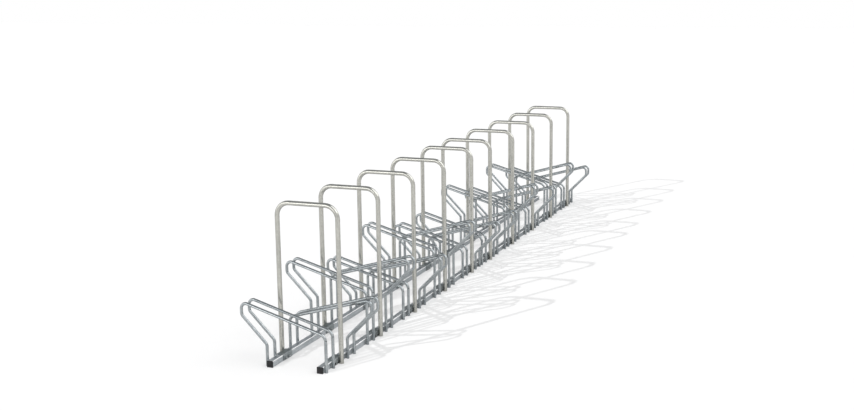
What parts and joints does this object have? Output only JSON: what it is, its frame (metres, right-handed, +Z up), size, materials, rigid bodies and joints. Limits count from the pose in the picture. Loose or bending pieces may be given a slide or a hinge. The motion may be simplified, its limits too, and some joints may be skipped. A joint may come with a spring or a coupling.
{
  "type": "bike rack",
  "caption": "Double-sided tiered bike rack: tall lean-on hoops on parallel floor rails, with bent tube wheel holders that overhang both sides at alternating heights.",
  "frame": {"origin": "on the floor where the two modules of the rack meet, between the fifth and sixth hoops and midway between the left and right rails", "axes": "+Z up, +Y along the rails from the front end in the picture to the far end, +X across the rails to the right seen from the front end"},
  "size_m": [0.646, 4.76, 0.85],
  "materials": {
    "galvanised_rail": "hot-dip galvanised, satin, blue-grey",
    "galvanised_hoop": "hot-dip galvanised, satin, warm light grey",
    "galvanised_loop": "hot-dip galvanised, satin, light grey",
    "black_plastic": "moulded black plastic, fine grain"
  },
  "bodies": {
    "root": {"rail_left_front": "galvanised_rail", "rail_right_front": "galvanised_rail", "rail_left_rear": "galvanised_rail", "rail_right_rear": "galvanised_rail", "end_plug_left_front": "black_plastic", "joint_plug_left": "black_plastic", "end_plug_left_rear": "black_plastic", "end_plug_right_front": "black_plastic", "joint_plug_right": "black_plastic", "end_plug_right_rear": "black_plastic", "hoop_01": "galvanised_hoop", "hoop_02": "galvanised_hoop", "hoop_03": "galvanised_hoop", "hoop_04": "galvanised_hoop", "hoop_05": "galvanised_hoop", "hoop_06": "galvanised_hoop", "hoop_07": "galvanised_hoop", "hoop_08": "galvanised_hoop", "hoop_09": "galvanised_hoop", "hoop_10": "galvanised_hoop", "wheel_loop_left_01_outer": "galvanised_loop", "wheel_loop_left_01_inner": "galvanised_loop", "wheel_loop_left_02_outer": "galvanised_loop", "wheel_loop_left_02_inner": "galvanised_loop", "wheel_loop_left_03_outer": "galvanised_loop", "wheel_loop_left_03_inner": "galvanised_loop", "wheel_loop_left_04_outer": "galvanised_loop", "wheel_loop_left_04_inner": "galvanised_loop", "wheel_loop_left_05_outer": "galvanised_loop", "wheel_loop_left_05_inner": "galvanised_loop", "wheel_loop_left_06_outer": "galvanised_loop", "wheel_loop_left_06_inner": "galvanised_loop", "wheel_loop_left_07_outer": "galvanised_loop", "wheel_loop_left_07_inner": "galvanised_loop", "wheel_loop_left_08_outer": "galvanised_loop", "wheel_loop_left_08_inner": "galvanised_loop", "wheel_loop_left_09_outer": "galvanised_loop", "wheel_loop_left_09_inner": "galvanised_loop", "wheel_loop_left_10_outer": "galvanised_loop", "wheel_loop_left_10_inner": "galvanised_loop", "wheel_loop_right_01_outer": "galvanised_loop", "wheel_loop_right_01_inner": "galvanised_loop", "wheel_loop_right_02_outer": "galvanised_loop", "wheel_loop_right_02_inner": "galvanised_loop", "wheel_loop_right_03_outer": "galvanised_loop", "wheel_loop_right_03_inner": "galvanised_loop", "wheel_loop_right_04_outer": "galvanised_loop", "wheel_loop_right_04_inner": "galvanised_loop", "wheel_loop_right_05_outer": "galvanised_loop", "wheel_loop_right_05_inner": "galvanised_loop", "wheel_loop_right_06_outer": "galvanised_loop", "wheel_loop_right_06_inner": "galvanised_loop", "wheel_loop_right_07_outer": "galvanised_loop", "wheel_loop_right_07_inner": "galvanised_loop", "wheel_loop_right_08_outer": "galvanised_loop", "wheel_loop_right_08_inner": "galvanised_loop", "wheel_loop_right_09_outer": "galvanised_loop", "wheel_loop_right_09_inner": "galvanised_loop", "wheel_loop_right_10_outer": "galvanised_loop", "wheel_loop_right_10_inner": "galvanised_loop"}
  },
  "joints": []
}
